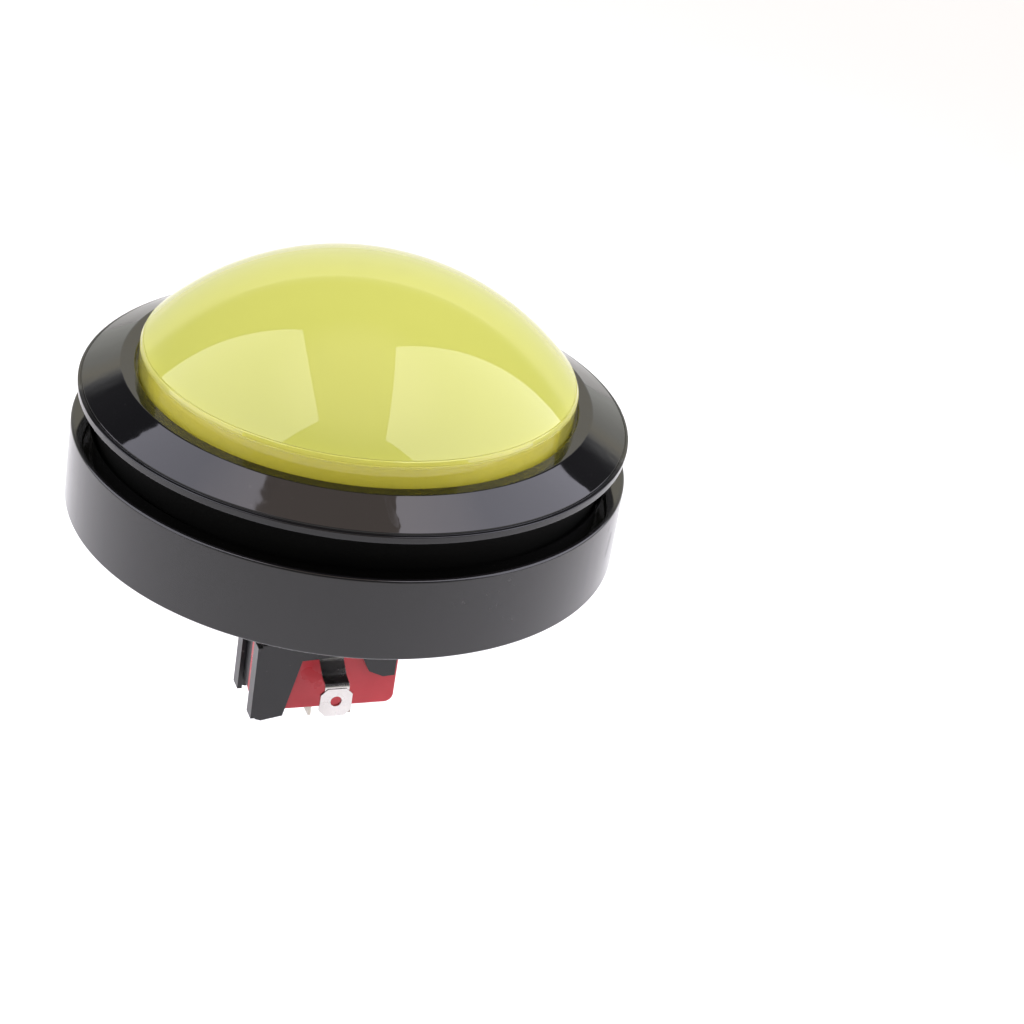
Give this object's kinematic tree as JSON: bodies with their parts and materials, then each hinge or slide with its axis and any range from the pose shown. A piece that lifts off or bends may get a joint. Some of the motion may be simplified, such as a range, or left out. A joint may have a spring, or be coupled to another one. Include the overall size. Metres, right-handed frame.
{
  "type": "dome push button",
  "caption": "Large round illuminated push button with a translucent yellow dome in a sloped black ring over a drum, with a threaded stem, nut, snap-in microswitch and lamp unit.",
  "frame": {"origin": "centre of the button on the panel plane, where the drum's underside meets the panel", "axes": "+Z out of the panel towards the player; the switch lies along X with its red face and front lamp tab towards -Y and its common terminal towards +X"},
  "size_m": [0.1016, 0.1016, 0.094],
  "materials": {
    "drum_plastic": "gloss black moulded ABS",
    "bezel_plastic": "high gloss black moulded ABS",
    "carrier_plastic": "satin black ABS",
    "nut_plastic": "satin black nylon",
    "clear_lens": "polished polycarbonate, tinted and slightly cloudy yellow",
    "yellow_diffuser": "translucent yellow diffuser",
    "screw_steel": "zinc plated steel",
    "spring_steel": "drawn spring wire",
    "holder_plastic": "satin black nylon",
    "nickel_strip": "nickel plated strip",
    "switch_terminal": "tarnished nickel plated brass",
    "contact_copper": "spring copper alloy",
    "plunger_plastic": "black acetal",
    "red_case": "semi-gloss red phenolic",
    "black_cover": "satin black phenolic",
    "lamp_plastic": "translucent amber-yellow",
    "led_resin": "clear yellow epoxy",
    "lead_wire": "tinned wire"
  },
  "bodies": {
    "base": {"base_drum": "drum_plastic", "return_spring": "spring_steel"},
    "washer": {"mounting_washer": "nut_plastic"},
    "nut": {"mounting_nut": "nut_plastic"},
    "head": {"head_carrier": "carrier_plastic", "bezel_ring": "bezel_plastic", "dome_lens": "clear_lens", "diffuser_dome": "yellow_diffuser", "retaining_screws": "screw_steel"},
    "switch_unit": {"lamp_holder": "holder_plastic", "lamp_contact_front": "nickel_strip", "lamp_contact_rear": "nickel_strip", "com_terminal": "switch_terminal", "no_terminal": "switch_terminal", "nc_terminal": "switch_terminal", "switch_case": "red_case", "switch_cover": "black_cover"},
    "plunger": {"switch_plunger": "plunger_plastic"},
    "contact_blade": {"moving_contact": "contact_copper"},
    "lamp": {"lamp_body": "lamp_plastic", "lamp_led": "led_resin", "lamp_leads": "lead_wire"}
  },
  "joints": [
    {"name": "head_press", "type": "slide", "parent": "base", "child": "head", "axis": [0, 0, -1], "range_m": [0, 0.005], "stiffness_N_per_m": 500, "springref_m": -0.008, "deforming": ["return_spring"]},
    {"name": "washer_slide", "type": "slide", "parent": "base", "child": "washer", "axis": [0, 0, -1], "range_m": [0, 0.008]},
    {"name": "nut_turn", "type": "hinge", "parent": "washer", "child": "nut", "pos_m": [0, 0, -0.011], "axis": [0, 0, -1], "range_deg": [0, 1440]},
    {"name": "unit_withdraw", "type": "slide", "parent": "base", "child": "switch_unit", "axis": [0, 0, -1], "range_m": [0, 0.045]},
    {"name": "plunger_press", "type": "slide", "parent": "switch_unit", "child": "plunger", "axis": [0, 0, -1], "range_m": [0, 0.0015]},
    {"name": "contact_swing", "type": "hinge", "parent": "switch_unit", "child": "contact_blade", "pos_m": [0.005, 0, -0.02788], "axis": [0, -1, 0], "range_deg": [0, 3.4]},
    {"name": "lamp_pull", "type": "slide", "parent": "switch_unit", "child": "lamp", "axis": [0, 0, 1], "range_m": [0, 0.02]}
  ],
  "couplings": [
    {"joint": "washer_slide", "follows": "nut_turn", "m_per_rad": 0.000318},
    {"joint": "plunger_press", "follows": "head_press", "ratio": 0.3},
    {"joint": "contact_swing", "follows": "head_press", "rad_per_m": 11.86}
  ]
}
